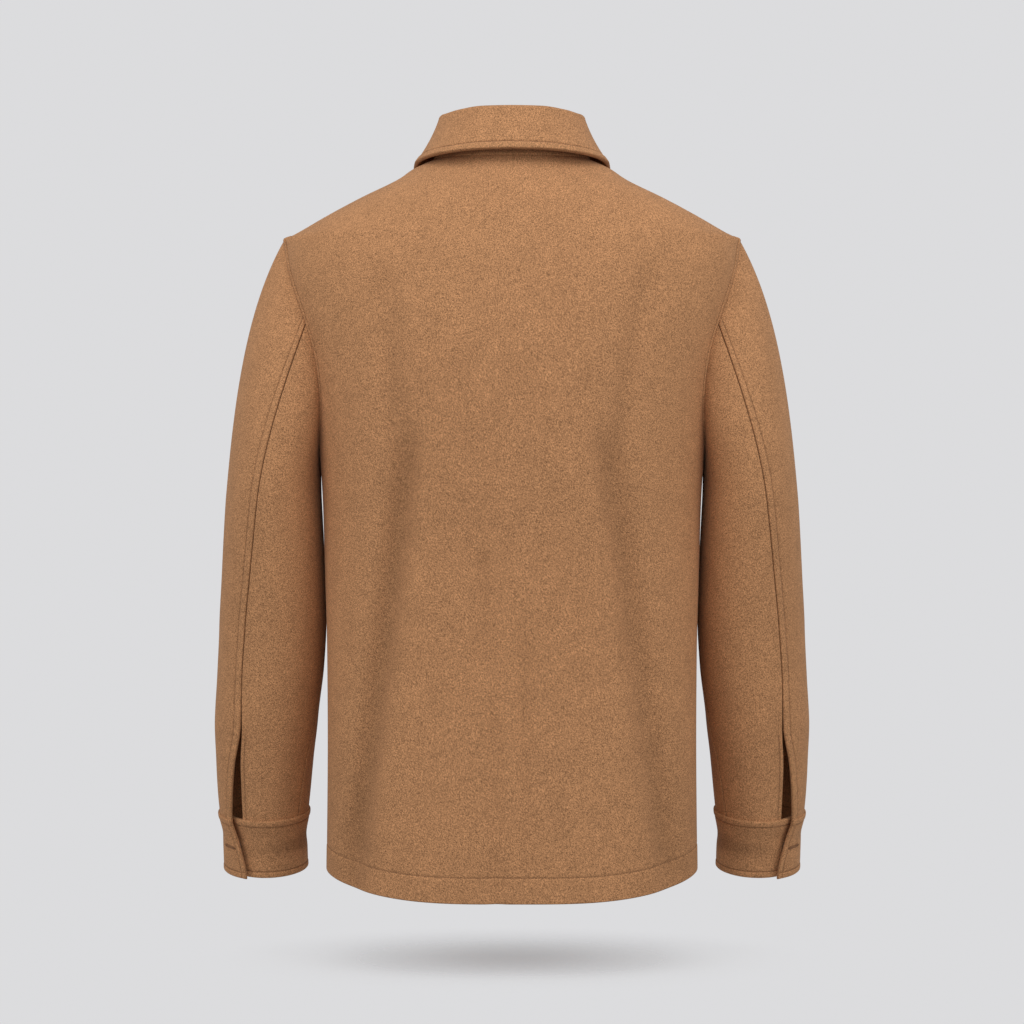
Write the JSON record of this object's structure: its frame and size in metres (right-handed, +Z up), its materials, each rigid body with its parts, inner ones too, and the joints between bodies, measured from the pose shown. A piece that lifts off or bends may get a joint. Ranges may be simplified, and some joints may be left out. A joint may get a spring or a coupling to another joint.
{
  "type": "overshirt",
  "caption": "Brushed wool overshirt with a turned-down collar, buttoned front, long cuffed sleeves and a gently curved hem, filled out as when worn.",
  "frame": {"origin": "midway between the two shoulder-neck points, in the middle of the neck opening, where the wearer's shoulders carry the garment", "axes": "+Z up, -Y towards the buttoned front, +Y towards the back, +X towards the wearer's left side"},
  "size_m": [0.6136, 0.257, 0.7902],
  "materials": {
    "wool": "brushed, napped twill",
    "horn": "satin"
  },
  "bodies": {
    "root": {"back": "wool", "front_left": "wool", "front_right": "wool", "sleeve_upper_left": "wool", "sleeve_under_left": "wool", "cuff_left": "wool", "sleeve_upper_right": "wool", "sleeve_under_right": "wool", "cuff_right": "wool", "collar_stand": "wool", "collar_fall": "wool", "button_1": "horn", "button_2": "horn", "button_3": "horn", "button_4": "horn", "button_5": "horn", "button_6": "horn", "button_7": "horn", "cuff_button_left": "horn", "cuff_button_right": "horn"}
  },
  "joints": []
}
